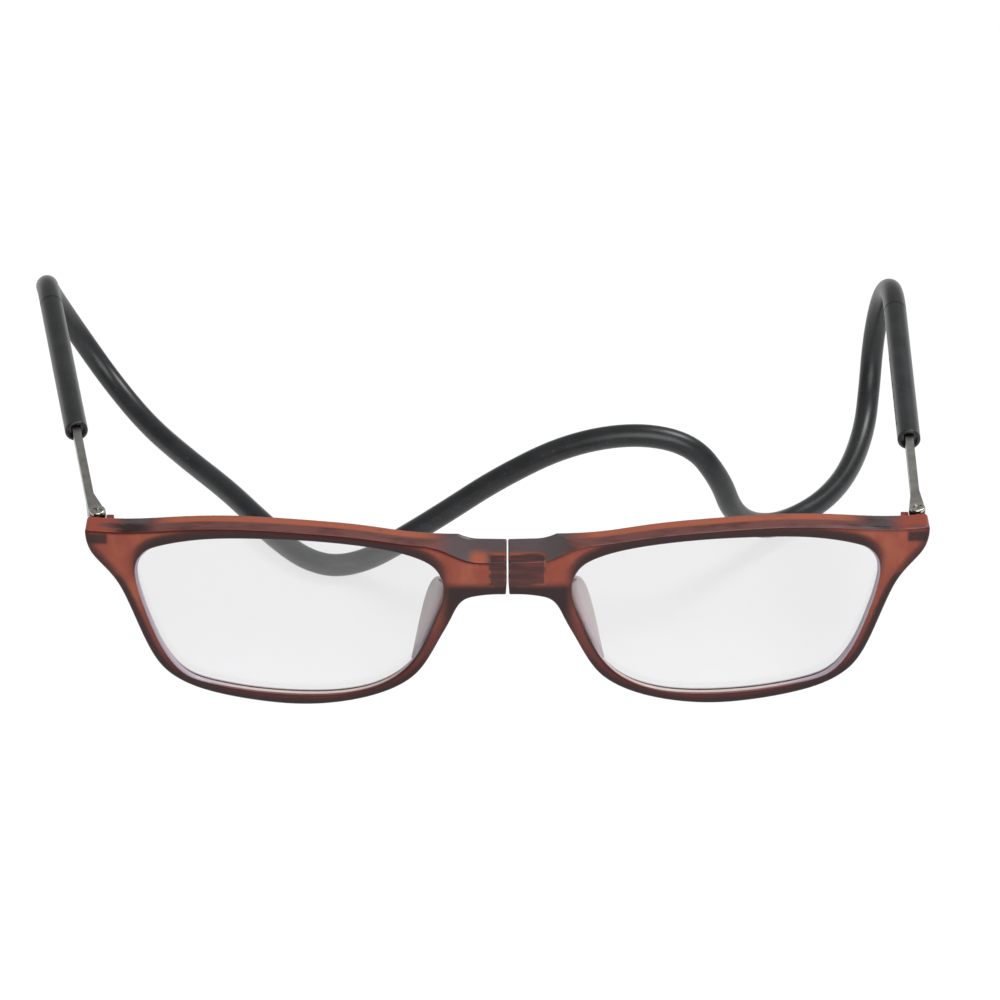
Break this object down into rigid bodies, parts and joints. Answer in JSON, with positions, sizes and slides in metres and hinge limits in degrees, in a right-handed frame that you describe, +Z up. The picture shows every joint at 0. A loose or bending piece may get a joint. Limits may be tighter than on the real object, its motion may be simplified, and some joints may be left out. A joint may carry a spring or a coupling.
{
  "type": "magnetic bridge reading glasses",
  "caption": "Reading glasses that part at a magnetic bridge, with folding fronts on short sliding temples joined behind by a soft neck cord.",
  "frame": {"origin": "on the table, straight below the middle of the bridge's front face", "axes": "+X to the wearer's left, +Y to the rear along the temples, +Z up; the rims and the cord rest on Z = 0"},
  "size_m": [0.1575, 0.0985, 0.036],
  "materials": {
    "frame": "satin translucent reddish brown",
    "lens": "clear",
    "holder": "satin black",
    "magnet": "nickel plated",
    "leaf": "satin",
    "screw": "bright",
    "bar": "gunmetal satin",
    "tip": "satin",
    "sleeve": "matte charcoal",
    "guide": "gloss dark grey",
    "plug": "satin black",
    "cord": "matte charcoal"
  },
  "bodies": {
    "neckband_left": {"sleeve_left": "sleeve", "sleeve_guide_left": "guide", "cord_plug_left": "plug", "neck_cord": "cord"},
    "neckband_right": {"sleeve_right": "sleeve", "sleeve_guide_right": "guide", "cord_plug_right": "plug"},
    "temple_left": {"temple_bar_left": "bar", "slider_tip_left": "tip", "hinge_screw_left": "screw"},
    "temple_right": {"temple_bar_right": "bar", "slider_tip_right": "tip", "hinge_screw_right": "screw"},
    "front_left": {"front_frame_left": "frame", "lens_left": "lens", "magnet_holder_left": "holder", "bridge_magnet_left": "magnet", "hinge_leaf_left": "leaf"},
    "front_right": {"front_frame_right": "frame", "lens_right": "lens", "magnet_holder_right": "holder", "bridge_magnet_right": "magnet", "hinge_leaf_right": "leaf"}
  },
  "joints": [
    {"name": "temple_slide_left", "type": "slide", "parent": "neckband_left", "child": "temple_left", "axis": [-0.1702, 0.9854, 0], "range_m": [0, 0.021]},
    {"name": "front_hinge_left", "type": "hinge", "parent": "temple_left", "child": "front_left", "pos_m": [-0.0693, 0.00854, 0.0328], "axis": [0, 0, 1], "range_deg": [-2, 98]},
    {"name": "bridge_release", "type": "slide", "parent": "neckband_left", "child": "neckband_right", "axis": [1, 0, 0], "range_m": [0, 0.04], "deforming": ["neck_cord"]},
    {"name": "temple_slide_right", "type": "slide", "parent": "neckband_right", "child": "temple_right", "axis": [0.0087, 1, 0], "range_m": [-0.0042, 0.0168]},
    {"name": "front_hinge_right", "type": "hinge", "parent": "temple_right", "child": "front_right", "pos_m": [0.0693, 0.00854, 0.0328], "axis": [0, 0, -1], "range_deg": [-12, 88]}
  ]
}
